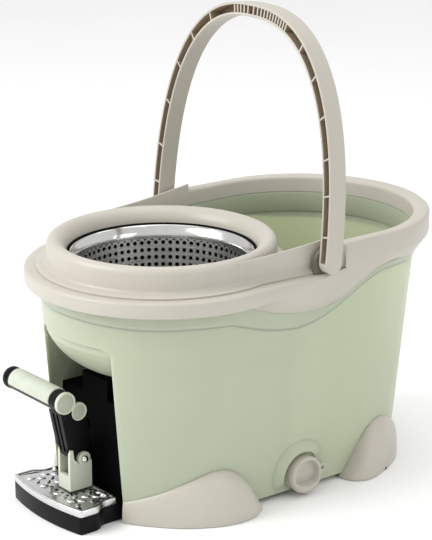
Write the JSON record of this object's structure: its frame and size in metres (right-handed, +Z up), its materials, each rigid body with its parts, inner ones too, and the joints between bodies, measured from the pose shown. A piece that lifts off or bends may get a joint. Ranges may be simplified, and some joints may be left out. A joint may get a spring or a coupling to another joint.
{
  "type": "spin mop bucket",
  "caption": "Oval bucket with a raised spin basket turned by a foot pedal through a gear train, a wash well, a swinging carrying handle, flared feet and a pull-out drain plug.",
  "frame": {"origin": "on the floor under the middle of the whole object's bounding box", "axes": "+Z up, +Y from the basket end to the wash well end, +X towards the side with the drain plug"},
  "size_m": [0.298, 0.4894, 0.506],
  "materials": {
    "green_plastic": "smooth pale green",
    "cream_plastic": "smooth warm grey-white",
    "black_plastic": "fine grain",
    "white_nylon": "natural nylon",
    "green_rubber": "soft touch",
    "rubber": "plain",
    "chrome": "polished",
    "steel": "turned",
    "stainless": "brushed and perforated"
  },
  "bodies": {
    "tub": {"tub_shell": "green_plastic", "rim_ring": "cream_plastic", "basket_cover": "cream_plastic", "well_bush": "white_nylon", "foot_front_right": "cream_plastic", "foot_front_left": "cream_plastic", "foot_rear_right": "cream_plastic", "foot_rear_left": "cream_plastic", "foot_pads": "rubber", "base_plate": "black_plastic", "tread_plate": "chrome", "tread_screws": "chrome", "housing_right": "black_plastic", "housing_left": "black_plastic", "housing_screws": "steel", "pedal_bracket": "green_plastic", "return_spring": "steel", "drain_seat": "cream_plastic", "handle_pins": "cream_plastic"},
    "handle": {"handle": "cream_plastic"},
    "pedal": {"lever_arm": "black_plastic", "foot_bar": "black_plastic", "grip_pad": "green_rubber", "bar_cap_right": "green_plastic", "bar_cap_left": "black_plastic", "pedal_pin": "chrome", "sector_gear": "white_nylon"},
    "cross_shaft": {"cross_shaft": "steel", "cross_mitre": "white_nylon", "pinion": "white_nylon"},
    "long_shaft": {"long_shaft": "steel", "crown_bevel": "white_nylon", "long_mitre": "white_nylon"},
    "spindle": {"spindle": "steel", "spindle_bevel": "white_nylon", "clutch_drum": "white_nylon"},
    "basket": {"basket": "stainless", "basket_seat": "cream_plastic", "basket_hub": "black_plastic", "basket_screw": "steel"},
    "plug": {"drain_plug": "cream_plastic", "plug_seal": "rubber"}
  },
  "joints": [
    {"name": "handle_swing", "type": "hinge", "parent": "tub", "child": "handle", "pos_m": [0, 0.02175, 0.26], "axis": [1, 0, 0], "range_deg": [-24, 86]},
    {"name": "pedal_press", "type": "hinge", "parent": "tub", "child": "pedal", "pos_m": [0, -0.19925, 0.0595], "axis": [1, 0, 0], "range_deg": [0, 70], "stiffness_Nm_per_rad": 0.9, "springref_deg": -11.46},
    {"name": "cross_turn", "type": "hinge", "parent": "tub", "child": "cross_shaft", "pos_m": [0, -0.15925, 0.0595], "axis": [1, 0, 0], "range_deg": [-210, 0]},
    {"name": "long_turn", "type": "hinge", "parent": "tub", "child": "long_shaft", "pos_m": [0, -0.08625, 0.0595], "axis": [0, 1, 0], "range_deg": [-210, 0]},
    {"name": "spindle_turn", "type": "hinge", "parent": "tub", "child": "spindle", "pos_m": [0, -0.08625, 0.0595], "axis": [0, 0, 1], "range_deg": [-420, 0]},
    {"name": "basket_spin", "type": "hinge", "parent": "tub", "child": "basket", "pos_m": [0, -0.08625, 0.2], "axis": [0, 0, 1], "continuous": true},
    {"name": "plug_pull", "type": "slide", "parent": "tub", "child": "plug", "axis": [1, 0, 0], "range_m": [0, 0.03]}
  ],
  "couplings": [
    {"joint": "cross_turn", "follows": "pedal_press", "ratio": -3},
    {"joint": "long_turn", "follows": "pedal_press", "ratio": -3},
    {"joint": "spindle_turn", "follows": "pedal_press", "ratio": -6}
  ]
}
